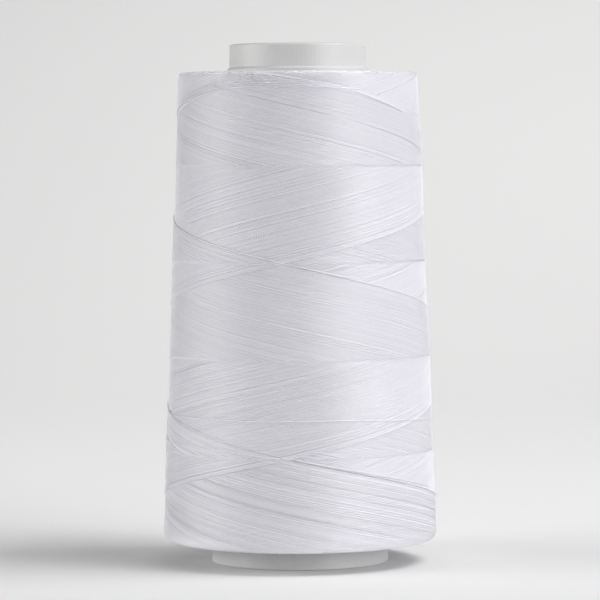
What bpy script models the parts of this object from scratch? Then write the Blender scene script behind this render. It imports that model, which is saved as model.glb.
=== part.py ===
"""A cone of sewing thread: a hollow moulded core, and the thread cross-wound on it.

Metres, +Z up. The origin is the centre of the circle on which the core stands. Angles are counted from the
front, -Y, towards +X, and a profile or section is a list of (radius, height) that runs down the outer side
and up the inner one.

The thread runs from end to end of the winding and back, and makes a whole number of half turns each way. So
its newest turns lie as two crossing spirals, one falling and one rising, and each is a low step: the thread on
one side of it is a whole layer newer. The steps cross at the front at the top edge and at every second row
boundary below it, and at the back at the boundaries between.
"""

import math

import bmesh
import bpy

# Core, open at both ends
CORE_HEIGHT = 0.1146
FOOT_RADIUS = 0.0196
SHOULDER_RADIUS = 0.01566
SHOULDER_HEIGHT = 0.1091
SHOULDER_SLANT = 0.0004
COLLAR_RADIUS = 0.0152
CORE_WALL = 0.0018
RIM_ROUND = 0.0005
CORE_EDGE_ROUND = 0.0003
CORE_SEGMENTS = 96

# Winding, clear of the core by the gap
CORE_GAP = 0.0003
WINDING_BOTTOM = 0.0047
WINDING_TOP = 0.1084
WINDING_BOTTOM_RADIUS = 0.03048
WINDING_TOP_RADIUS = 0.02648
BOTTOM_ROUND = 0.0024
TOP_ROUND = 0.0009
WINDING_SEGMENTS = 96

# Turns: where the spirals would turn back if they ran on as straight lines, and the step at a newest turn
ROWS = 5
TURN_TOP = 0.1088
TURN_BOTTOM = 0.0043
ROW_HEIGHT = (TURN_TOP - TURN_BOTTOM) / ROWS
CROSSING_ANGLE = math.radians(-5.5)
LAYER_STEP = 0.00025
STEP_SPREAD = 0.0003

ARC_POINTS_SMALL = 4
ARC_POINTS_LARGE = 6


def material(name, colour, roughness):
    made = bpy.data.materials.new(name)
    made.use_nodes = True
    shader = made.node_tree.nodes["Principled BSDF"]
    shader.inputs["Base Color"].default_value = (*colour, 1.0)
    shader.inputs["Roughness"].default_value = roughness
    shader.inputs["Metallic"].default_value = 0.0
    return made


def add_object(name, mesh, collection, finish):
    mesh.shade_smooth()
    mesh.set_sharp_from_angle(angle=math.radians(40))
    mesh.materials.append(finish)
    added = bpy.data.objects.new(name, mesh)
    collection.objects.link(added)
    return added


def arc(centre_radius, centre_height, radius, first, last, points):
    """Points of a round edge, from the first to the last angle in degrees: 0 faces out and 90 faces up."""
    angles = [math.radians(first + (last - first) * step / (points - 1)) for step in range(points)]
    return [
        (centre_radius + radius * math.cos(a), centre_height + radius * math.sin(a))
        for a in angles
    ]


def cone_radius(height):
    """The core's outer radius below its shoulder."""
    return FOOT_RADIUS + (SHOULDER_RADIUS - FOOT_RADIUS) * height / SHOULDER_HEIGHT


def core_profile():
    """Rim, collar, slanted shoulder, tapered outside, foot and the plain bore, once round the wall."""
    rim_edge = COLLAR_RADIUS - RIM_ROUND
    foot_edge = cone_radius(CORE_EDGE_ROUND) - CORE_EDGE_ROUND
    bore_foot = cone_radius(0.0) - CORE_WALL + CORE_EDGE_ROUND
    bore_top = cone_radius(CORE_HEIGHT) - CORE_WALL + CORE_EDGE_ROUND
    return [
        *arc(rim_edge, CORE_HEIGHT - RIM_ROUND, RIM_ROUND, 90, 0, ARC_POINTS_LARGE),
        (COLLAR_RADIUS, SHOULDER_HEIGHT + SHOULDER_SLANT),
        (SHOULDER_RADIUS, SHOULDER_HEIGHT),
        *arc(foot_edge, CORE_EDGE_ROUND, CORE_EDGE_ROUND, 0, -90, ARC_POINTS_SMALL),
        *arc(bore_foot, CORE_EDGE_ROUND, CORE_EDGE_ROUND, -90, -180, ARC_POINTS_SMALL),
        *arc(bore_top, CORE_HEIGHT - CORE_EDGE_ROUND, CORE_EDGE_ROUND, 180, 90, ARC_POINTS_SMALL),
    ]


def turned_mesh(name, profile, segments):
    """A closed profile turned about Z."""
    outline = bpy.data.meshes.new(name + " profile")
    count = len(profile)
    edges = [(point, (point + 1) % count) for point in range(count)]
    outline.from_pydata([(radius, 0.0, height) for radius, height in profile], edges, [])
    guide = bpy.data.objects.new(name + " profile", outline)
    bpy.context.scene.collection.objects.link(guide)
    screw = guide.modifiers.new("Turn", "SCREW")
    screw.steps = segments
    screw.render_steps = segments
    screw.use_merge_vertices = True
    screw.merge_threshold = 0.00001
    graph = bpy.context.evaluated_depsgraph_get()
    turned = bpy.data.meshes.new_from_object(guide.evaluated_get(graph))
    turned.name = name
    bpy.data.objects.remove(guide)
    bpy.data.meshes.remove(outline)
    return turned


def surface_radius(angle, height):
    """The winding's outer radius: its cone, highest on the newest turns and a step lower where they are oldest."""
    share = (height - WINDING_BOTTOM) / (WINDING_TOP - WINDING_BOTTOM)
    cone = WINDING_BOTTOM_RADIUS + (WINDING_TOP_RADIUS - WINDING_BOTTOM_RADIUS) * share
    past = math.pi * (TURN_TOP - height) / ROW_HEIGHT
    turned = angle - CROSSING_ANGLE
    age_of_falling = ((past - turned) / math.tau) % 1.0
    age_of_rising = ((-past - turned) / math.tau) % 1.0
    return cone + LAYER_STEP * (1.0 - age_of_falling - age_of_rising)


def step_heights(angle):
    """The heights, from the top, at which a newest turn crosses this angle: one in each row."""
    turned = (angle - CROSSING_ANGLE + math.pi) % math.tau - math.pi
    off_crossing = abs(turned) / math.pi
    rows = [2 * pair + side * off_crossing for pair in range(ROWS) for side in (-1, 1)]
    inside = sorted(row for row in rows if 0 < row < ROWS)
    highest = WINDING_TOP - TOP_ROUND - STEP_SPREAD
    lowest = WINDING_BOTTOM + BOTTOM_ROUND + STEP_SPREAD
    return [min(highest, max(lowest, TURN_TOP - row * ROW_HEIGHT)) for row in inside]


def winding_section(angle):
    """The cut through the winding on one side of the axis."""
    top_edge = WINDING_TOP - TOP_ROUND
    bottom_edge = WINDING_BOTTOM + BOTTOM_ROUND
    heights = [step + side * STEP_SPREAD / 2 for step in step_heights(angle) for side in (1, -1)]
    top_centre = surface_radius(angle, top_edge) - TOP_ROUND
    bottom_centre = surface_radius(angle, bottom_edge) - BOTTOM_ROUND
    return [
        (cone_radius(WINDING_TOP) + CORE_GAP, WINDING_TOP),
        *arc(top_centre, top_edge, TOP_ROUND, 90, 0, ARC_POINTS_SMALL),
        *[(surface_radius(angle, height), height) for height in heights],
        *arc(bottom_centre, bottom_edge, BOTTOM_ROUND, 0, -90, ARC_POINTS_LARGE),
        (cone_radius(WINDING_BOTTOM) + CORE_GAP, WINDING_BOTTOM),
    ]


def winding_mesh(name):
    """The sections joined round the axis. No section lies on a crossing, where two steps would meet."""
    shape = bmesh.new()
    rings = []
    for segment in range(WINDING_SEGMENTS):
        angle = CROSSING_ANGLE + (segment + 0.5) * math.tau / WINDING_SEGMENTS
        across, back = math.sin(angle), -math.cos(angle)
        section = winding_section(angle)
        rings.append([shape.verts.new((r * across, r * back, z)) for r, z in section])
    for ring, next_ring in zip(rings, rings[1:] + rings[:1]):
        for point in range(len(ring)):
            shape.faces.new((ring[point - 1], ring[point], next_ring[point], next_ring[point - 1]))
    bmesh.ops.recalc_face_normals(shape, faces=shape.faces)
    mesh = bpy.data.meshes.new(name)
    shape.to_mesh(mesh)
    shape.free()
    return mesh


def clear_scene():
    for leftover in list(bpy.data.objects):
        bpy.data.objects.remove(leftover)


def main():
    clear_scene()
    collection = bpy.data.collections.new("cone of thread")
    bpy.context.scene.collection.children.link(collection)
    plastic = material("moulded polypropylene", (0.80, 0.80, 0.80), 0.45)
    thread = material("polyester thread", (0.80, 0.80, 0.84), 0.40)
    core = turned_mesh("cone_core", core_profile(), CORE_SEGMENTS)
    add_object("cone_core", core, collection, plastic)
    add_object("thread_winding", winding_mesh("thread_winding"), collection, thread)


main()
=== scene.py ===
"""The looks of a cone of sewing thread, wound turn by turn round its solids. Metres, +Z up.

The thread runs from end to end of the winding and back, with a whole number of half turns in each stroke, so
the crossings of each layer stand over those of the one below. A stroke that runs down from the top is a
falling one and a stroke that runs up is a rising one. Angles are counted from the front, -Y, towards +X.
"""

import math

import bpy
import numpy as np
from mathutils import Matrix, Vector


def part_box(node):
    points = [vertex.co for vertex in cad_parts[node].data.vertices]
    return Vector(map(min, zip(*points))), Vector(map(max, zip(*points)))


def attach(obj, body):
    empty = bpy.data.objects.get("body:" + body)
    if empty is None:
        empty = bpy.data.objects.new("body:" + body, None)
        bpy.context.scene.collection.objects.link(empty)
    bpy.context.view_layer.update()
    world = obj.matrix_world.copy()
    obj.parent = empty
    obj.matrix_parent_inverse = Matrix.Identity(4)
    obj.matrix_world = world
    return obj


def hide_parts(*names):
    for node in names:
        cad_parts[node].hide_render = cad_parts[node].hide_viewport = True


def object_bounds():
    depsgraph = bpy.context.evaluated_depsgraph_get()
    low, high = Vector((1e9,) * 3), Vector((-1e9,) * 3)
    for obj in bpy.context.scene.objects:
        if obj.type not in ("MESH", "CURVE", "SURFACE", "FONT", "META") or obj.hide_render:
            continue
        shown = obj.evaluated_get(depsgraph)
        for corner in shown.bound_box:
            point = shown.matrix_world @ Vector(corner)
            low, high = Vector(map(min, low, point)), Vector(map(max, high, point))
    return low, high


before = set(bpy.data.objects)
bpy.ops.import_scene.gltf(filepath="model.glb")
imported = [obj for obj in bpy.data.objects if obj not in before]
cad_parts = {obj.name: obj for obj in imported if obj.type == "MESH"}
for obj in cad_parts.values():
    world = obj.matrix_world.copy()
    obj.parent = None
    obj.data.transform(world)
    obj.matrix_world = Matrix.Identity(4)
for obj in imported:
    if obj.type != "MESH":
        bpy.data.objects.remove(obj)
CAD_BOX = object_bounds()

bl_info = {
    "name": "Cone of thread",
    "version": (1, 0, 0),
    "blender": (4, 5, 0),
    "location": "3D View > Sidebar > Cone of thread",
    "description": "Winds a cone of sewing thread on its moulded core and stands it on a pale studio floor",
    "category": "Add Mesh",
}

BODY = "root"
CORE_NODE = "cone_core"
WINDING_NODE = "thread_winding"

# How far the solid's newest turns stand off its cone
CAD_STEP = 0.00025

# Wound mass: points round it and up it, how far it looks for a lower turn, and its depth in thread heights
BODY_COLUMNS = 120
BODY_SIDE_ROWS = 130
BODY_END_ROWS = 23
BODY_LOOK_ROUND = math.radians(3.0)
BODY_LOOK_ALONG = 0.0006
BODY_END_BLEND = 0.004
BODY_DEPTH = 2.0
BODY_SMOOTH_ANGLE = math.radians(40)

# Loops of the older layers: where they begin on the side, and their spacing and half width in pitches
LOOPS_FROM_EDGE = 0.0036
LOOPS_SPACING = 1.1
LOOPS_HALF_WIDTH = 0.6
# Arcs in one round, from the first number to one less than the last, and how unevenly they share it
LOOP_ARCS = (2, 5)
ARC_UNEVEN = 0.1
ARC_REACH = (0.54, 0.62)
# How far an arc lies out of place and sags towards its ends, in pitches, and how its height varies
ARC_WANDER = 0.08
ARC_SLACK = (0.2, 1.2)
ARC_DIP = 0.06
ARC_END_POWER = 8

# Slack turns that lie over the others, each through stops of an angle in degrees and a height in millimetres
STRAY_TURNS = (
    ((-95, 97.4), (-76, 100.0), (-55, 102.7), (-32, 104.7), (-10, 104.9), (10, 104.8), (30, 104.2)),
    ((-20, 107.8), (-8, 107.1), (17, 105.2), (40, 102.0), (62, 98.8)),
    ((-75, 33.0), (-57, 33.3), (-19, 33.1), (20, 33.3), (80, 32.0), (120, 30.5), (150, 30.3)),
    ((-110, 27.8), (-90, 27.4), (-39, 27.1), (-15, 25.5), (-4, 25.3), (74, 17.0)),
    ((-8, 67.0), (26, 63.5)),
    ((-22, 68.8), (-7, 66.9)),
    ((150, 77.5), (172, 76.9), (190, 76.8), (215, 75.0)),
)
# Degrees between its points, rounds of smoothing, and degrees over which an end dips under
STRAY_SPACING = 1.5
STRAY_SMOOTHING = 12
STRAY_TUCK = 5.0
# How high it stands in thread heights, and in pitches its half width and the reach within which it clears
# all others
STRAY_LIFT = 1.6
STRAY_HALF_WIDTH = 0.6
STRAY_REACH = 1.5
STRAY_SECTION_POINTS = 6

# Parting lines that the mould leaves on the core's foot, at these angles in degrees
PARTING_LINES = (-4.0, 176.0)
# How far each starts above the floor and runs up behind the winding, and how far it stands out
PARTING_MARGIN = 0.0004
PARTING_POINTS = 12
PARTING_OUT = 0.00002
PARTING_HALF_WIDTH = 0.00012
PARTING_MAP_ACROSS = 0.5
PARTING_MAP_RUN = (0.1, 0.9)


# Colours and nodes


def linear_colour(hex_code):
    """An sRGB hex colour as linear red, green and blue."""
    channels = [int(hex_code[place : place + 2], 16) / 255 for place in (0, 2, 4)]
    return [c / 12.92 if c <= 0.04045 else ((c + 0.055) / 1.055) ** 2.4 for c in channels]


def add_node(tree, kind, values=None, links=None, **settings):
    """Adds a node, sets its properties and input values, and links its inputs to other nodes' outputs."""
    node = tree.nodes.new(kind)
    for name, value in settings.items():
        setattr(node, name, value)
    for key, value in (values or {}).items():
        node.inputs[key].default_value = value
    for key, (source, output) in (links or {}).items():
        tree.links.new(source.outputs[output], node.inputs[key])
    return node


def new_material(name):
    """A material with a bare Principled shader, and its tree and shader."""
    made = bpy.data.materials.new(name)
    made.use_nodes = True
    tree = made.node_tree
    return made, tree, tree.nodes["Principled BSDF"]


def set_values(shader, **values):
    for name, value in values.items():
        shader.inputs[name.replace("_", " ")].default_value = value


# Settings


class ConeCoreSettings(bpy.types.PropertyGroup):
    colour: bpy.props.FloatVectorProperty(
        name="Plastic",
        description="Colour of the moulded core",
        subtype="COLOR",
        min=0.0,
        max=1.0,
        default=linear_colour("CDCDCB"),
    )
    roughness: bpy.props.FloatProperty(
        name="Roughness",
        description="Roughness of the moulded surface",
        subtype="FACTOR",
        min=0.0,
        max=1.0,
        default=0.42,
    )


class ConeThreadSettings(bpy.types.PropertyGroup):
    colour: bpy.props.FloatVectorProperty(
        name="Thread",
        description="Colour of the dyed or bleached thread",
        subtype="COLOR",
        min=0.0,
        max=1.0,
        default=linear_colour("EDECF2"),
    )
    pitch: bpy.props.FloatProperty(
        name="Pitch",
        description="Distance between neighbouring strokes, square to the thread",
        unit="LENGTH",
        min=0.0001,
        max=0.002,
        default=0.00019,
    )
    height: bpy.props.FloatProperty(
        name="Height",
        description="How far a thread stands out of the layer below",
        unit="LENGTH",
        min=0.00005,
        max=0.001,
        default=0.0001,
    )
    layer: bpy.props.FloatProperty(
        name="Layer",
        description="Thickness of one whole layer, which shows as a step at its newest stroke",
        unit="LENGTH",
        min=0.0001,
        max=0.001,
        default=0.00017,
    )
    rows: bpy.props.IntProperty(
        name="Rows",
        description="Half turns in one stroke",
        min=1,
        max=15,
        default=5,
    )
    crossing: bpy.props.FloatProperty(
        name="Crossing",
        description="Angle at which the newest stroke turns back at the top",
        unit="ROTATION",
        default=math.radians(-10.0),
    )
    drift: bpy.props.FloatProperty(
        name="Drift",
        description="Angle by which the crossings wander in each row down",
        unit="ROTATION",
        default=math.radians(1.6),
    )
    seed: bpy.props.IntProperty(
        name="Seed",
        description="Picks the unevenness of the strokes",
        min=0,
        default=4,
    )


class ConeStageSettings(bpy.types.PropertyGroup):
    backdrop: bpy.props.FloatVectorProperty(
        name="Backdrop",
        description="Colour of the paper sweep",
        subtype="COLOR",
        min=0.0,
        max=1.0,
        default=linear_colour("E6E6E5"),
    )
    key_power: bpy.props.FloatProperty(
        name="Key light",
        description="Power of the soft light high on the right",
        unit="POWER",
        min=0.0,
        default=1.08,
    )
    right_power: bpy.props.FloatProperty(
        name="Right fill",
        description="Power of the wide low light on the right",
        unit="POWER",
        min=0.0,
        default=1.39,
    )
    left_power: bpy.props.FloatProperty(
        name="Left fill",
        description="Power of the wide low light on the left",
        unit="POWER",
        min=0.0,
        default=1.44,
    )
    rim_power: bpy.props.FloatProperty(
        name="Rim light",
        description="Power of the weak light behind on the right, which draws the right edge",
        unit="POWER",
        min=0.0,
        default=0.08,
    )
    backdrop_power: bpy.props.FloatProperty(
        name="Backdrop light",
        description="Power of the strip that lights the backdrop",
        unit="POWER",
        min=0.0,
        default=12.0,
    )
    lens: bpy.props.FloatProperty(
        name="Lens",
        description="Focal length of the camera",
        unit="CAMERA",
        min=20.0,
        max=400.0,
        default=202.0,
    )
    distance: bpy.props.FloatProperty(
        name="Distance",
        description="Distance from the camera to the axis of the cone",
        unit="LENGTH",
        min=0.2,
        max=5.0,
        default=0.747,
    )
    eye_height: bpy.props.FloatProperty(
        name="Eye height",
        description="Height of the camera above the floor",
        unit="LENGTH",
        min=0.0,
        max=2.0,
        default=0.0902,
    )


# Form of the winding


def node_points(name):
    """Radius and height of each corner of a CAD node."""
    points = np.array([corner.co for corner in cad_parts[name].data.vertices])
    return np.hypot(points[:, 0], points[:, 1]), points[:, 2]


class WindingForm:
    """The rounded cone that the thread is wound to, read from the frame, and the run of a stroke over it.

    A depth is counted from the top, in rows as an angle: pi for each row. A place on the outer surface is
    given by its angle and its height, and heights past a round edge are counted along the edge.
    """

    # Rounds of the upper and the lower edge
    TOP_ROUND = 0.0009
    BOTTOM_ROUND = 0.0024
    # How far past each end the strokes would turn back if they ran on as straight lines
    TURN_MARGIN = 0.0004
    # How far in the older loops lie on the side and on the ends, and the run between the two
    SIDE_LOOPS_IN = 0.00018
    FACE_LOOPS_IN = 0.00005
    END_BLEND = 0.003
    # Share of a step that is left at the ends, and the run over which it grows whole
    END_STEP_SHARE = 0.6
    STEP_BLEND = 0.006
    # Corners this close to an end lie on its face
    ON_FACE = 0.00001
    # Where the unrolled map starts, how wide it is, and its margin below and above
    MAP_START = 0.005
    MAP_WIDTH = 0.97
    MAP_MARGIN = 0.01

    def __init__(self, settings):
        radii, heights = node_points(WINDING_NODE)
        self.bottom, self.top = float(heights.min()), float(heights.max())
        self.low_edge = self.bottom + self.BOTTOM_ROUND
        self.high_edge = self.top - self.TOP_ROUND
        near_low = np.abs(heights - self.low_edge) < self.BOTTOM_ROUND / 2
        near_high = np.abs(heights - self.high_edge) < self.TOP_ROUND / 2
        self.layer = settings.layer
        self.low_radius = float(radii[near_low].max()) - CAD_STEP
        self.high_radius = float(radii[near_high].max()) - CAD_STEP
        self.inner_low = float(radii[heights < self.bottom + self.ON_FACE].min())
        self.inner_high = float(radii[heights > self.top - self.ON_FACE].min())
        self.rows = settings.rows
        self.turn_top = self.top + self.TURN_MARGIN
        self.row_height = (self.turn_top - self.bottom + self.TURN_MARGIN) / self.rows
        self.crossing = settings.crossing
        self.drift = settings.drift / math.pi
        self.slope = (self.low_radius - self.high_radius) / (self.high_edge - self.low_edge)
        self.lean = math.atan(self.slope)
        top_arc = self.TOP_ROUND * (math.pi / 2 - self.lean)
        bottom_arc = self.BOTTOM_ROUND * (math.pi / 2 + self.lean)
        self.top_inside = self.high_edge + top_arc + self.high_radius - self.TOP_ROUND - self.inner_high
        low_face = self.low_edge - bottom_arc
        self.bottom_inside = low_face - self.low_radius + self.BOTTOM_ROUND + self.inner_low

    def cone_radius(self, height):
        """Radius of the straight side."""
        return self.high_radius + self.slope * (self.high_edge - height)

    def profile(self, height):
        """Radius, true height and lean of the surface at a height counted along its side and ends."""
        past_top = np.maximum(height - self.high_edge, 0.0)
        past_bottom = np.maximum(self.low_edge - height, 0.0)
        on_side = np.clip(height, self.low_edge, self.high_edge)
        top_turn = np.minimum(past_top / self.TOP_ROUND, math.pi / 2 - self.lean)
        bottom_turn = np.minimum(past_bottom / self.BOTTOM_ROUND, math.pi / 2 + self.lean)
        tilt = self.lean + top_turn - bottom_turn
        arc = self.TOP_ROUND * (top_turn > 0) + self.BOTTOM_ROUND * (bottom_turn > 0)
        radius = self.cone_radius(on_side) + arc * (np.cos(tilt) - math.cos(self.lean))
        radius -= past_top - self.TOP_ROUND * top_turn + past_bottom - self.BOTTOM_ROUND * bottom_turn
        true_height = on_side + arc * (np.sin(tilt) - math.sin(self.lean))
        return radius, true_height, tilt

    def step_share(self, height):
        """The newest strokes' steps flatten towards the ends, where the loops press into each other."""
        from_end = np.minimum(height - self.low_edge, self.high_edge - height)
        grown = np.clip(from_end / self.STEP_BLEND, 0.0, 1.0)
        return self.END_STEP_SHARE + (1.0 - self.END_STEP_SHARE) * grown

    def end_level(self, height):
        """How far in the older loops lie: under the newest strokes on the side, and less at the ends."""
        past = np.maximum(height - self.high_edge, self.low_edge - height) / self.END_BLEND
        share = np.clip(past, 0.0, 1.0)
        further = self.FACE_LOOPS_IN - self.SIDE_LOOPS_IN
        return -self.SIDE_LOOPS_IN - further * share * share * (3.0 - 2.0 * share)

    def age_offset(self, angle, height):
        """How far the surface stands off the cone: a layer out where newest, and a layer in where oldest."""
        depth = math.pi * (self.turn_top - height) / self.row_height
        turned = angle - self.crossing - self.drift * depth
        falling_age = np.mod((depth - turned) / math.tau, 1.0)
        rising_age = np.mod((-depth - turned) / math.tau, 1.0)
        return self.layer * (1.0 - falling_age - rising_age)

    def unrolled(self, angle, height):
        """Places in the unrolled map: once round across it, and from inside to inside of the ends up it."""
        across = self.MAP_START + self.MAP_WIDTH * np.mod(angle / math.tau, 1.0)
        share = (height - self.bottom_inside) / (self.top_inside - self.bottom_inside)
        up = self.MAP_MARGIN + (1.0 - 2.0 * self.MAP_MARGIN) * share
        return np.stack([across, np.clip(up, 0.0, 1.0)], -1)

    def place(self, angle, height, lift):
        """Points of the surface lifted off it, and the directions square to it."""
        radius, true_height, tilt = self.profile(height)
        out = np.stack([np.sin(angle) * np.cos(tilt), -np.cos(angle) * np.cos(tilt), np.sin(tilt)], -1)
        base = np.stack([np.sin(angle) * radius, -np.cos(angle) * radius, true_height], -1)
        return base + out * np.asarray(lift)[..., None], out


# Meshes

# Degrees that a laid thread's section turns to each side of its top
SECTION_TURN = 82.0


def add_piece(name, mesh, material, smooth_angle=None):
    """Links a mesh as a piece that rides on the body."""
    mesh.materials.append(material)
    mesh.shade_smooth()
    if smooth_angle is not None:
        mesh.set_sharp_from_angle(angle=smooth_angle)
    piece = bpy.data.objects.new(name, mesh)
    bpy.context.scene.collection.objects.link(piece)
    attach(piece, BODY)
    return piece


def strand_section(points):
    """Round of a laid thread, as shares of half its width and of its height, with a flat underside."""
    angles = np.radians(np.linspace(-SECTION_TURN, SECTION_TURN, points))
    return np.stack([np.sin(angles), np.cos(angles) - 1.0], -1)


class Strands:
    """Gathers laid threads and parting lines, each a closed half-round rod, into one mesh."""

    # How far along the twist a thread may begin from the one laid before it
    PHASE_DRIFT = 0.00025

    def __init__(self, section_points=4):
        self.section = strand_section(section_points)
        self.points, self.faces, self.ends = [], [], []
        self.laid, self.unrolled, self.shades = [], [], []
        self.count = 0
        self.phase = 0.0
        self.drift = np.random.default_rng(section_points)

    def add(self, tops, outs, half_width, height, unrolled, shade):
        """Lays a thread whose top runs through the points tops, with its out directions."""
        steps, around = len(tops), len(self.section)
        if steps < 2:
            return
        run = np.gradient(tops, axis=0)
        run /= np.linalg.norm(run, axis=1, keepdims=True)
        across = np.cross(outs, run)
        half_width = np.broadcast_to(half_width, steps)[:, None, None]
        height = np.broadcast_to(height, steps)[:, None, None]
        side = self.section[None, :, :1] * half_width
        sunk = self.section[None, :, 1:] * height
        ring = tops[:, None] + across[:, None] * side + outs[:, None] * sunk
        first = self.count + around * np.arange(steps - 1)[:, None]
        here = first + np.arange(around)[None]
        there = first + (np.arange(around)[None] + 1) % around
        self.faces.append(np.stack([here, there, there + around, here + around], -1).reshape(-1, 4))
        self.ends.append(self.count + np.arange(around)[::-1])
        self.ends.append(self.count + around * (steps - 1) + np.arange(around))
        lengths = np.concatenate([[0.0], np.cumsum(np.linalg.norm(np.diff(tops, axis=0), axis=1))])
        self.phase += self.drift.uniform(-self.PHASE_DRIFT, self.PHASE_DRIFT)
        lengths += self.phase
        self.laid.append(np.repeat(lengths, around))
        self.unrolled.append(np.repeat(unrolled, around, axis=0))
        self.shades.append(np.full(steps * around, shade))
        self.points.append(ring.reshape(-1, 3))
        self.count += steps * around

    def mesh(self, name):
        """The mesh, with its length and girth in the map Turns and its unrolled place in the map OFBake."""
        around = len(self.section)
        points = np.concatenate(self.points)
        faces = np.concatenate(self.faces)
        made = bpy.data.meshes.new(name)
        made.from_pydata(points.tolist(), [], faces.tolist() + [end.tolist() for end in self.ends])
        corners = np.zeros(len(made.loops), int)
        made.loops.foreach_get("vertex_index", corners)
        laid = np.concatenate(self.laid)[corners]
        girth = (corners % around) / (around - 1)
        place = np.concatenate(self.unrolled)[corners]
        # A face that runs past the end of the map stays whole instead of folding back over it.
        first = np.arange(0, 4 * len(faces), 4).repeat(4)
        place[: len(first), 0] += np.where(place[: len(first), 0] < place[first, 0] - 0.5, 1.0, 0.0)
        for map_name, values in (("OFBake", place), ("Turns", np.stack([laid, girth], -1))):
            layer = made.uv_layers.new(name=map_name)
            layer.data.foreach_set("uv", values.astype(np.float32).ravel())
        shade = made.attributes.new("Shade", "FLOAT", "POINT")
        shade.data.foreach_set("value", np.concatenate(self.shades).astype(np.float32))
        return made


# Materials

# Two plies at about 900 turns a metre show one bar every 0.55 mm, with a shallow groove between bars.
PLY_BAR = 0.00055
PLY_GROOVE = 0.000012
# How much painted shade darkens the grooves between the plies, how much each length differs, and the darkest
# share of the colour
PAINTED_GROOVE_SHADE = 0.35
LENGTH_SHADE = 0.3
DARKEST_THREAD = 0.86
DARKEST_PLASTIC = 0.95


def polyester_thread(settings):
    """Bleached trilobal polyester, twisted from two plies: silky, bright along each turn, faintly barred,
    with painted shade in the grooves between the plies.
    """
    made, tree, shader = new_material("twisted polyester thread")
    set_values(shader, Roughness=0.27, IOR=1.6, Specular_IOR_Level=0.9)
    turns = add_node(tree, "ShaderNodeUVMap", uv_map="Turns")
    split = add_node(tree, "ShaderNodeSeparateXYZ", links={0: (turns, "UV")})
    along = add_node(
        tree, "ShaderNodeMath", {1: 1.0 / PLY_BAR}, {0: (split, "X")}, operation="MULTIPLY"
    )
    slanted = add_node(tree, "ShaderNodeMath", links={0: (along, 0), 1: (split, "Y")}, operation="ADD")
    circle = add_node(tree, "ShaderNodeMath", {1: math.tau}, {0: (slanted, 0)}, operation="MULTIPLY")
    twist = add_node(tree, "ShaderNodeMath", links={0: (circle, 0)}, operation="SINE")
    bump = add_node(
        tree, "ShaderNodeBump", {"Strength": 1.0, "Distance": PLY_GROOVE}, {"Height": (twist, 0)}
    )
    tree.links.new(bump.outputs["Normal"], shader.inputs["Normal"])
    # Painted shade darkens the colour in the grooves between the plies, and each length takes the bleach a
    # little differently.
    shade = add_node(tree, "ShaderNodeAttribute", attribute_name="Shade")
    painted_groove_shade = add_node(
        tree,
        "ShaderNodeMath",
        {1: PAINTED_GROOVE_SHADE, 2: PAINTED_GROOVE_SHADE},
        {0: (twist, 0)},
        operation="MULTIPLY_ADD",
    )
    tone_and_painted_shade = add_node(
        tree,
        "ShaderNodeMath",
        {1: LENGTH_SHADE},
        {0: (shade, "Fac"), 2: (painted_groove_shade, 0)},
        operation="MULTIPLY_ADD",
    )
    tint = add_node(
        tree,
        "ShaderNodeMix",
        {"A": (*[DARKEST_THREAD * c for c in settings.colour], 1.0), "B": (*settings.colour, 1.0)},
        {"Factor": (tone_and_painted_shade, 0)},
        data_type="RGBA",
    )
    tree.links.new(tint.outputs["Result"], shader.inputs["Base Color"])
    return made


def moulded_polypropylene(settings):
    """White polypropylene from a polished mould: neutral, satin, with a faint flow of its own."""
    made, tree, shader = new_material("moulded polypropylene")
    set_values(shader, Roughness=settings.roughness, IOR=1.49)
    place = add_node(tree, "ShaderNodeTexCoord")
    flow = add_node(
        tree, "ShaderNodeTexNoise", {"Scale": 220.0, "Detail": 3.0}, {"Vector": (place, "Object")}
    )
    tint = add_node(
        tree,
        "ShaderNodeMix",
        {"A": (*[DARKEST_PLASTIC * c for c in settings.colour], 1.0), "B": (*settings.colour, 1.0)},
        {"Factor": (flow, "Fac")},
        data_type="RGBA",
    )
    tree.links.new(tint.outputs["Result"], shader.inputs["Base Color"])
    bump = add_node(
        tree, "ShaderNodeBump", {"Strength": 0.2, "Distance": 0.00005}, {"Height": (flow, "Fac")}
    )
    tree.links.new(bump.outputs["Normal"], shader.inputs["Normal"])
    return made


def sweep_paper(settings):
    """Matt background paper: pale, even and without a shine."""
    made, _, shader = new_material("matt background paper")
    set_values(shader, Roughness=0.9, IOR=1.3, Base_Color=(*settings.backdrop, 1.0))
    return made


def find_or_make(name, make, settings):
    return bpy.data.materials.get(name) or make(settings)


# Winding


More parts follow.
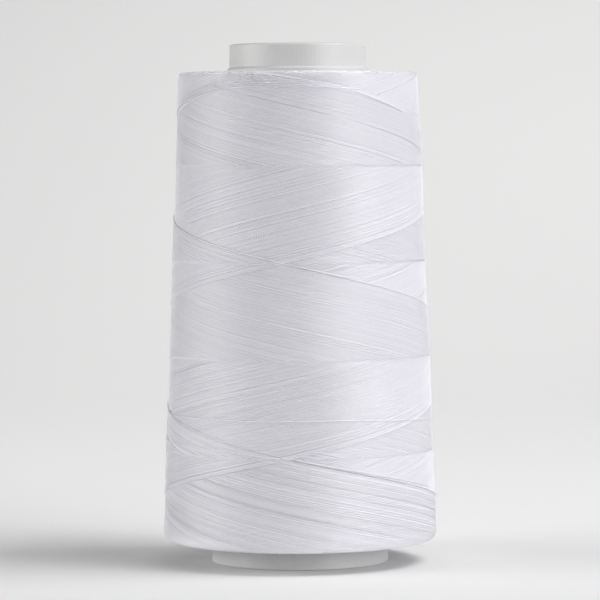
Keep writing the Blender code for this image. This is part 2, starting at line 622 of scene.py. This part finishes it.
class Layer:
    """The newest layer: how many strokes it has each way, and how unevenly each lies.

    A ramp is the depth from one stroke to the next, and a loop is how deep a stroke turns back at an end.
    Both are angles, as all depths are.
    """

    # Angle between the ribs, on which every stroke has a point so that neighbours run side by side, and more
    # ribs each way than a stroke meets
    RIB = math.radians(6.0)
    MOST_RIBS = 200
    # How far every other stroke stands out, and how much further the newest one does, in thread heights
    RAISED = 0.2
    NEWEST_RAISED = 0.8
    # How strokes dive under their followers, in ramps: falling ones in a steep tooth, by turns just before
    # and just after the row boundary, and rising ones gently, most of the way before it
    TOOTH = 0.8
    STEEP = 0.6
    GENTLE = 4.0
    SHADED = 0.85
    # Ramps before a covered stroke comes out at which it is laid again, and its points round the place
    HIDDEN_RUN = 2.0
    COVER_POINTS = (-1.0, 0.5)
    # Two points closer than this share of a ramp become one
    CLOSEST = 0.25
    # This near the ends covered strokes are laid as well
    END_KEPT = 0.005
    # Share of the stretches that is left out, but never among this many of the newest strokes
    GAP_SHARE = 0.008
    NEVER_LEFT_OUT = 16
    # How far strokes lie aside, in pitches: most of them, and a share that strays further
    EVEN = 0.055
    STRAYING = 0.13
    STRAY_SHARE = 0.3
    # How much of that wanders along the stroke, and how many times truer strokes lie in height
    WANDER = 0.4
    TRUER = 3
    # Strokes lie true at an end and grow loose over this depth. Falling ones are loosest in the lowest row,
    # up to the first of two heights above the lower edge, in rows. From the second they are like the rest.
    DRAWN_IN = math.radians(20.0)
    LOOSE_END = 2.3
    LOOSE_ROWS = (0.75, 1.0)
    # Loops in degrees: the least, the most and a power that keeps most of them tight. The newest strokes
    # have loops of their own at the top.
    TOP_LOOPS = (2.0, 9.0, 3.0)
    BOTTOM_LOOPS = (1.0, 7.0, 3.0)
    NEWEST_LOOPS = (34.0, 31.0, 27.0, 22.0, 17.0, 13.0, 10.0, 8.0)
    # Power that rounds a turn, and half the width of a thread in pitches, so that neighbours touch
    TURN_POWER = 4
    HALF_WIDTH = 0.55

    def __init__(self, form, settings):
        self.form = form
        self.pitch = settings.pitch
        self.height = settings.height
        lead = 2.0 * form.row_height
        middle = (form.low_radius + form.high_radius) / 2
        climb = math.atan(lead / (math.tau * middle))
        self.strokes = 2 * round(lead * math.cos(climb) / settings.pitch / 2)
        self.ramp = math.tau / self.strokes
        self.rng = np.random.default_rng(settings.seed)
        self.top_loops = np.radians(self.loops(*self.TOP_LOOPS))
        self.bottom_loops = np.radians(self.loops(*self.BOTTOM_LOOPS))
        self.top_loops[: len(self.NEWEST_LOOPS)] = np.radians(self.NEWEST_LOOPS)

    def loops(self, least, most, power):
        """How widely each stroke turns back at an end: mostly tight, and now and then slack."""
        share = self.rng.uniform(0.0, 1.0, self.strokes) ** power
        return least + (most - least) * share

    def turned_back(self, depth, top_loop, bottom_loop):
        """Depth of a stroke that rounds its turns at the ends instead of coming to a point."""
        total = math.pi * self.form.rows
        power = self.TURN_POWER
        from_top = (np.abs(depth) ** power + top_loop**power) ** (1 / power)
        from_bottom = (np.abs(total - depth) ** power + bottom_loop**power) ** (1 / power)
        return np.where(depth < total / 2, from_top, total - from_bottom)

    def depths(self, sign, age):
        """Depths at which a stroke is sampled: where it meets the ribs, and where it dives or is covered."""
        form = self.form
        total = math.pi * form.rows
        ribs = self.RIB * np.arange(-self.MOST_RIBS, self.MOST_RIBS)
        on_ribs = (ribs - form.crossing + age) / (sign + form.drift)
        boundaries = math.pi * np.arange(form.rows + 1)
        teeth = [-self.TOOTH, self.STEEP - self.TOOTH, self.TOOTH, self.STEEP + self.TOOTH]
        dives = boundaries[:, None] + self.ramp * np.array(teeth if sign > 0 else [-1.0, 0.0, self.GENTLE])
        crossings = boundaries[:, None] + sign * (age / 2 + self.ramp * np.array(self.COVER_POINTS))
        found = np.concatenate([on_ribs, dives.ravel(), crossings.ravel(), [0.0, total]])
        found = np.unique(found[(found >= 0) & (found <= total)])
        keep = np.concatenate([[True], np.diff(found) > self.CLOSEST * self.ramp])
        return found[keep]

    def dive(self, travelled, past, first_loop, sign, number):
        """How much of a layer a stroke has dived: at each row boundary, and after it turned back at an end.

        The steep tooth of a falling stroke shades the rising strokes that come out from under it.
        """
        total = math.pi * self.form.rows
        tooth = self.TOOTH * (1 if number % 2 else -1)
        steep = [tooth, tooth + self.STEEP], [0.0, 1.0]
        gentle = [-self.GENTLE, 0.0, 1.0], [0.0, self.SHADED, 1.0]
        at_boundary = np.interp(past / self.ramp, *(steep if sign > 0 else gentle))
        after_turn = np.clip(travelled / max(self.ramp, first_loop), 0.0, 1.0)
        first, last = travelled < math.pi / 2, travelled > total - math.pi / 2
        return np.where(first, after_turn, np.where(last, 0.0, at_boundary))

    def stroke(self, strands, sign, number):
        """Lays one stroke: the stretches of it that newer strokes don't cover."""
        form = self.form
        age = math.tau * number / self.strokes
        total = math.pi * form.rows
        depth = self.depths(sign, age)
        travelled = depth if sign > 0 else total - depth
        row = np.round(travelled / math.pi)
        past = travelled - math.pi * row
        beyond = past >= 0
        since = np.where(beyond, past, past + math.pi)
        top_loop, bottom_loop = self.top_loops[number], self.bottom_loops[number]
        first_loop = top_loop if sign > 0 else bottom_loop
        level = (since - age) / math.pi + beyond - self.dive(travelled, past, first_loop, sign, number)
        clear = np.where(row == 0, max(self.ramp, first_loop), self.ramp) + self.ramp
        angle = form.crossing - age + form.drift * depth + sign * depth
        height = form.turn_top - form.row_height * self.turned_back(depth, top_loop, bottom_loop) / math.pi
        from_end = np.minimum(height - form.low_edge, form.high_edge - height)
        out_again = age / 2 - self.HIDDEN_RUN * self.ramp
        covered = (since > clear) & (since < out_again) & (from_end > self.END_KEPT)
        raised = self.height * (self.RAISED * (number % 2 == 0) + self.NEWEST_RAISED * (number == 0))
        lift = form.layer * level * form.step_share(height) + raised
        loose = np.clip(np.minimum(depth, total - depth) / self.DRAWN_IN, 0.0, 1.0)
        if sign > 0:
            lowest_row = form.low_edge + form.row_height * np.array(self.LOOSE_ROWS)
            loose *= np.interp(height, lowest_row, [self.LOOSE_END, 1.0])
        ends = np.flatnonzero(np.diff(np.concatenate([[False], ~covered, [False]]).astype(int)))
        for first, last in zip(ends[::2], ends[1::2]):
            stretch = slice(first, last)
            self.lay(strands, number, angle[stretch], height[stretch], lift[stretch], loose[stretch])

    def lay(self, strands, number, angle, height, lift, loose):
        """Lays one stretch, a little out of place where it is loose, or now and then leaves it out."""
        left_out = self.rng.uniform() < self.GAP_SHARE and number > self.NEVER_LEFT_OUT
        if len(angle) < 2 or left_out:
            return
        spread = self.pitch * (self.STRAYING if self.rng.uniform() < self.STRAY_SHARE else self.EVEN)
        aside = self.rng.normal(0.0, spread)
        stops = self.rng.normal(aside, self.WANDER * spread, 3)
        wander = np.interp(np.linspace(0, 1, len(angle)), [0, 0.5, 1], stops)
        raised = self.rng.normal(0.0, spread / self.TRUER)
        tops, outs = self.form.place(angle, height + loose * wander, lift + loose * raised)
        shade = self.rng.uniform(0.0, 1.0)
        # The newest stroke has no follower beside it, so it reaches down to the layer below.
        deep = self.height + self.form.layer * (number == 0)
        half_width = self.pitch * self.HALF_WIDTH
        strands.add(tops, outs, half_width, deep, self.form.unrolled(angle, height), shade)


def grid_mesh(name, rings):
    """Closed surface through rings of points, each ring closed, and the rings closed on each other."""
    count, around = rings.shape[:2]
    ring, place = np.meshgrid(np.arange(count), np.arange(around), indexing="ij")
    next_ring, next_place = (ring + 1) % count, (place + 1) % around
    faces = np.stack(
        [
            ring * around + place,
            ring * around + next_place,
            next_ring * around + next_place,
            next_ring * around + place,
        ],
        -1,
    ).reshape(-1, 4)
    mesh = bpy.data.meshes.new(name)
    mesh.from_pydata(rings.reshape(-1, 3).tolist(), [], faces.tolist())
    return mesh


def winding_body_mesh(form, depth):
    """The wound mass that the outermost turns lie on, a little inside them, hollow round the core."""
    angles = np.linspace(0.0, math.tau, BODY_COLUMNS + 1)[:-1]
    side = np.linspace(form.high_edge, form.low_edge, BODY_SIDE_ROWS)
    top = np.linspace(form.top_inside, form.high_edge, BODY_END_ROWS + 1)[:-1]
    bottom = np.linspace(form.low_edge, form.bottom_inside, BODY_END_ROWS + 1)[1:]
    angle, height = np.meshgrid(angles, np.concatenate([top, side, bottom]), indexing="xy")
    offsets = [
        form.age_offset(angle + turn, height + rise)
        for turn in (-BODY_LOOK_ROUND, 0.0, BODY_LOOK_ROUND)
        for rise in (-BODY_LOOK_ALONG, 0.0, BODY_LOOK_ALONG)
    ]
    from_end = np.minimum(height - form.low_edge, form.high_edge - height)
    share = np.clip(from_end / BODY_END_BLEND, 0.0, 1.0)
    lift = np.min(offsets, axis=0) * share + form.end_level(height) * (1 - share) - depth
    outer, _ = form.place(angle, height, lift)
    return grid_mesh("winding_body", outer)


def lay_end_loops(strands, form, settings, rng, edge, inside):
    """Lays the loops in which the older layers turn back, from the side over the edge to the core."""
    pitch = settings.pitch
    half_width = pitch * LOOPS_HALF_WIDTH
    inward = math.copysign(1.0, inside - edge)
    start = edge - inward * LOOPS_FROM_EDGE
    rings = int(abs(inside - start) / (pitch * LOOPS_SPACING)) - 1
    for ring in range(rings):
        path = start + inward * pitch * LOOPS_SPACING * (ring + 0.5)
        arcs = int(rng.integers(*LOOP_ARCS))
        turn = rng.uniform(0.0, math.tau)
        for arc in range(arcs):
            middle = turn + math.tau * (arc + rng.uniform(-ARC_UNEVEN, ARC_UNEVEN)) / arcs
            reach = math.tau / arcs * rng.uniform(*ARC_REACH)
            share = np.linspace(-1.0, 1.0, 2 + int(2 * reach / Layer.RIB))
            angle = middle + reach * share
            slack = pitch * rng.uniform(*ARC_SLACK)
            height = path + rng.normal(0.0, pitch * ARC_WANDER) - inward * slack * share**2
            height = np.clip(height, form.bottom_inside + pitch, form.top_inside - pitch)
            dip = settings.height * (rng.normal(0.0, ARC_DIP) - share**ARC_END_POWER)
            tops, outs = form.place(angle, height, form.end_level(height) + dip)
            shade = rng.uniform(0.0, 1.0)
            strands.add(tops, outs, half_width, settings.height, form.unrolled(angle, height), shade)


def lay_stray_turn(strands, form, settings, stops):
    """Lays a slack turn over the others through its stops, with both ends tucked under its neighbours."""
    degrees, millimetres = np.array(stops).T
    fine = np.linspace(degrees[0], degrees[-1], 2 + int(np.ptp(degrees) / STRAY_SPACING))
    height = np.interp(fine, degrees, millimetres) / 1000
    for _ in range(STRAY_SMOOTHING):
        height[1:-1] = (height[:-2] + height[1:-1] + height[2:]) / 3
    angle = np.radians(fine)
    reach = settings.pitch * STRAY_REACH
    newest = np.max([form.age_offset(angle, height + step) for step in (-reach, 0.0, reach)], axis=0)
    from_end = np.minimum(fine - fine[0], fine[-1] - fine)
    tucked = np.clip(1.0 - from_end / STRAY_TUCK, 0.0, 1.0)
    lift = newest + settings.height * (STRAY_LIFT - (STRAY_LIFT + 1.0) * tucked)
    tops, outs = form.place(angle, height, lift)
    half_width = settings.pitch * STRAY_HALF_WIDTH
    deep = STRAY_LIFT * settings.height
    strands.add(tops, outs, half_width, deep, form.unrolled(angle, height), shade=1.0)


def lay_parting_line(strands, core, degrees):
    """Lays the fine rib that the two halves of the mould leave on the core's foot."""
    out = direction_from(degrees, 0.0)
    low, high = CAD_BOX[0][2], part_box(WINDING_NODE)[0][2]
    tops = []
    for height in np.linspace(low + PARTING_MARGIN, high + PARTING_MARGIN, PARTING_POINTS):
        found, place, _, _ = core.ray_cast(out + Vector((0.0, 0.0, height)), -out)
        if found:
            tops.append(place + out * PARTING_OUT)
    tops = np.array(tops)
    outs = np.broadcast_to(np.array(out), tops.shape)
    run = np.linspace(*PARTING_MAP_RUN, len(tops))
    place = np.stack([np.full(len(tops), PARTING_MAP_ACROSS), run], -1)
    strands.add(tops, outs, PARTING_HALF_WIDTH, 2 * PARTING_OUT, place, shade=1.0)


class CONE_OT_core(bpy.types.Operator):
    """Gives the core its moulded plastic."""

    bl_idname = "cone_of_thread.core"
    bl_label = "Finish core"

    def execute(self, context):
        settings = context.scene.cone_core
        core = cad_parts[CORE_NODE]
        core.data.materials.clear()
        core.data.materials.append(moulded_polypropylene(settings))
        return {"FINISHED"}


class CONE_OT_winding_body(bpy.types.Operator):
    """Makes the wound mass inside the outermost turns."""

    bl_idname = "cone_of_thread.winding_body"
    bl_label = "Make wound mass"

    def execute(self, context):
        settings = context.scene.cone_thread
        form = WindingForm(settings)
        mesh = winding_body_mesh(form, settings.height * BODY_DEPTH)
        material = find_or_make("twisted polyester thread", polyester_thread, settings)
        piece = add_piece("winding_body", mesh, material, BODY_SMOOTH_ANGLE)
        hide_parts(WINDING_NODE)
        return {"FINISHED"}


class CONE_OT_turns(bpy.types.Operator):
    """Lays the falling and the rising strokes of the newest layer."""

    bl_idname = "cone_of_thread.turns"
    bl_label = "Lay turns"

    def execute(self, context):
        settings = context.scene.cone_thread
        form = WindingForm(settings)
        layer = Layer(form, settings)
        material = find_or_make("twisted polyester thread", polyester_thread, settings)
        for name, sign in (("falling_turns", 1), ("rising_turns", -1)):
            strands = Strands()
            for number in range(layer.strokes):
                layer.stroke(strands, sign, number)
            add_piece(name, strands.mesh(name), material)
        return {"FINISHED"}


class CONE_OT_end_loops(bpy.types.Operator):
    """Lays the loops in which the older layers turn back at the two ends."""

    bl_idname = "cone_of_thread.end_loops"
    bl_label = "Lay end loops"

    def execute(self, context):
        settings = context.scene.cone_thread
        form = WindingForm(settings)
        rng = np.random.default_rng(settings.seed + 1)
        material = find_or_make("twisted polyester thread", polyester_thread, settings)
        ends = {
            "top_end_loops": (form.high_edge, form.top_inside),
            "bottom_end_loops": (form.low_edge, form.bottom_inside),
        }
        for name, (edge, inside) in ends.items():
            strands = Strands()
            lay_end_loops(strands, form, settings, rng, edge, inside)
            add_piece(name, strands.mesh(name), material)
        return {"FINISHED"}


class CONE_OT_stray_turns(bpy.types.Operator):
    """Lays the few slack turns that cross over the others."""

    bl_idname = "cone_of_thread.stray_turns"
    bl_label = "Lay stray turns"

    def execute(self, context):
        settings = context.scene.cone_thread
        form = WindingForm(settings)
        strands = Strands(STRAY_SECTION_POINTS)
        for stops in STRAY_TURNS:
            lay_stray_turn(strands, form, settings, stops)
        material = find_or_make("twisted polyester thread", polyester_thread, settings)
        add_piece("stray_turns", strands.mesh("stray_turns"), material)
        return {"FINISHED"}


class CONE_OT_parting_lines(bpy.types.Operator):
    """Raises the mould's parting line on the front and back of the core's foot."""

    bl_idname = "cone_of_thread.parting_lines"
    bl_label = "Raise parting lines"

    def execute(self, context):
        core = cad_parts[CORE_NODE]
        strands = Strands()
        for degrees in PARTING_LINES:
            lay_parting_line(strands, core, degrees)
        material = find_or_make("moulded polypropylene", moulded_polypropylene, context.scene.cone_core)
        add_piece("parting_lines", strands.mesh("parting_lines"), material)
        return {"FINISHED"}


# Stage

# How far the soft lights stand from the middle of the cone, and their spread in degrees
LIGHT_DISTANCE = 0.9
SOFTBOX_SPREAD = 75.0
BACKDROP_LIGHT_PLACE = (0.3, 0.5, 0.9)
BACKDROP_LIGHT_TARGET = (0.3, 1.6, 0.2)
BACKDROP_LIGHT_SIZE = (1.5, 0.3)
SWEEP_BEND_POINTS = 25
# Strength of the room as a light, and as it is seen
ROOM_STRENGTH = 0.109
SEEN_ROOM_STRENGTH = 0.85
# How far the camera stands to the right, and the degrees by which it looks down and leans
CAMERA_ASIDE = 0.0002
CAMERA_DOWN = 2.47
CAMERA_LEAN = 0.27


def aimed(location, target):
    """Rotation that turns a light towards a target."""
    return (Vector(target) - Vector(location)).to_track_quat("-Z", "Y")


def direction_from(azimuth, elevation):
    """A direction in degrees, counted from the front towards +X and up from the floor."""
    around, up = math.radians(azimuth), math.radians(elevation)
    return Vector((math.sin(around) * math.cos(up), -math.cos(around) * math.cos(up), math.sin(up)))


def add_soft_light(name, place, target, size, power, colour, spread=180.0):
    """A flat soft light at a place, turned to face a target, whose edges fade with a narrow spread."""
    data = bpy.data.lights.new(name, "AREA")
    data.shape = "RECTANGLE"
    data.size, data.size_y = size
    data.energy = power
    data.color = linear_colour(colour)
    data.spread = math.radians(spread)
    light = bpy.data.objects.new(name, data)
    bpy.context.scene.collection.objects.link(light)
    light.location = place
    light.rotation_mode = "QUATERNION"
    light.rotation_quaternion = aimed(place, target)


def studio_world():
    """A pale room, seen behind the floor from the other sides, that adds little light of its own."""
    world = bpy.data.worlds.new("studio")
    world.use_nodes = True
    tree = world.node_tree
    background = tree.nodes["Background"]
    background.inputs["Color"].default_value = (*linear_colour("F0F1F4"), 1.0)
    path = add_node(tree, "ShaderNodeLightPath")
    strength = add_node(
        tree,
        "ShaderNodeMath",
        {1: SEEN_ROOM_STRENGTH - ROOM_STRENGTH, 2: ROOM_STRENGTH},
        {0: (path, "Is Camera Ray")},
        operation="MULTIPLY_ADD",
    )
    tree.links.new(strength.outputs[0], background.inputs["Strength"])
    return world


def sweep_mesh(name, width, front, back, bend, height):
    """A floor that bends up into a backdrop."""
    angles = np.radians(np.linspace(0.0, 90.0, SWEEP_BEND_POINTS))
    curve = [(back + bend * math.sin(a), bend * (1 - math.cos(a))) for a in angles]
    line = [(front, 0.0), *curve, (back + bend, height)]
    points = [(side * width / 2, y, z) for y, z in line for side in (-1, 1)]
    faces = [(2 * k, 2 * k + 1, 2 * k + 3, 2 * k + 2) for k in range(len(line) - 1)]
    mesh = bpy.data.meshes.new(name)
    mesh.from_pydata(points, [], faces)
    mesh.shade_smooth()
    return mesh


class CONE_OT_stage(bpy.types.Operator):
    """Sets the pale floor, the soft lights and the camera."""

    bl_idname = "cone_of_thread.stage"
    bl_label = "Set stage"

    def execute(self, context):
        settings = context.scene.cone_stage
        scene = context.scene
        low, high = CAD_BOX
        middle = (low + high) / 2
        mesh = sweep_mesh("sweep", width=6.0, front=-2.0, back=0.45, bend=1.6, height=3.5)
        sweep = bpy.data.objects.new("sweep", mesh)
        sweep.data.materials.append(sweep_paper(settings))
        scene.collection.objects.link(sweep)
        self.add_lights(settings, middle)
        scene.world = studio_world()
        scene.view_settings.view_transform = "Standard"
        self.add_camera(scene, settings)
        return {"FINISHED"}

    def add_lights(self, settings, middle):
        lights = (
            ("key light", (80, 57), (0.5, 0.5), settings.key_power, "FFFFFF"),
            ("right fill", (50, 14), (0.8, 0.5), settings.right_power, "FCFCFF"),
            ("left fill", (-80, 14), (0.8, 0.5), settings.left_power, "FFFFFF"),
            ("rim light", (115, 20), (0.6, 0.6), settings.rim_power, "F4F4FF"),
        )
        for name, direction, size, power, colour in lights:
            place = Vector(middle) + direction_from(*direction) * LIGHT_DISTANCE
            add_soft_light(name, place, middle, size, power, colour, SOFTBOX_SPREAD)
        add_soft_light(
            "backdrop light",
            BACKDROP_LIGHT_PLACE,
            BACKDROP_LIGHT_TARGET,
            BACKDROP_LIGHT_SIZE,
            settings.backdrop_power,
            "FFFFFF",
        )

    def add_camera(self, scene, settings):
        data = bpy.data.cameras.new("camera")
        data.sensor_width = 36.0
        data.lens = settings.lens
        data.clip_end = 20.0
        camera = bpy.data.objects.new("camera", data)
        scene.collection.objects.link(camera)
        camera.location = (CAMERA_ASIDE, -settings.distance, settings.eye_height)
        pitch = math.radians(90.0 - CAMERA_DOWN)
        roll = math.radians(CAMERA_LEAN)
        camera.rotation_euler = (Matrix.Rotation(pitch, 3, "X") @ Matrix.Rotation(-roll, 3, "Z")).to_euler()
        scene.camera = camera


class CONE_PT_panel(bpy.types.Panel):
    """Lists the settings and the steps that make the cone of thread."""

    bl_idname = "CONE_PT_panel"
    bl_label = "Cone of thread"
    bl_space_type = "VIEW_3D"
    bl_region_type = "UI"
    bl_category = "Cone of thread"

    def draw(self, context):
        scene = context.scene
        for group in (scene.cone_core, scene.cone_thread, scene.cone_stage):
            box = self.layout.box()
            for name in group.__annotations__:
                box.prop(group, name)
        for operator in OPERATORS:
            self.layout.operator(operator.bl_idname)


SETTINGS = {
    "cone_core": ConeCoreSettings,
    "cone_thread": ConeThreadSettings,
    "cone_stage": ConeStageSettings,
}
OPERATORS = (
    CONE_OT_core,
    CONE_OT_parting_lines,
    CONE_OT_winding_body,
    CONE_OT_turns,
    CONE_OT_end_loops,
    CONE_OT_stray_turns,
    CONE_OT_stage,
)
CLASSES = (*SETTINGS.values(), *OPERATORS, CONE_PT_panel)


def register():
    for cls in CLASSES:
        bpy.utils.register_class(cls)
    for name, cls in SETTINGS.items():
        setattr(bpy.types.Scene, name, bpy.props.PointerProperty(type=cls))


def unregister():
    for name in SETTINGS:
        delattr(bpy.types.Scene, name)
    for cls in reversed(CLASSES):
        bpy.utils.unregister_class(cls)


def main():
    register()
    bpy.ops.cone_of_thread.core()
    bpy.ops.cone_of_thread.parting_lines()
    bpy.ops.cone_of_thread.winding_body()
    bpy.ops.cone_of_thread.turns()
    bpy.ops.cone_of_thread.end_loops()
    bpy.ops.cone_of_thread.stray_turns()
    bpy.ops.cone_of_thread.stage()


if __name__ == "__main__":
    main()
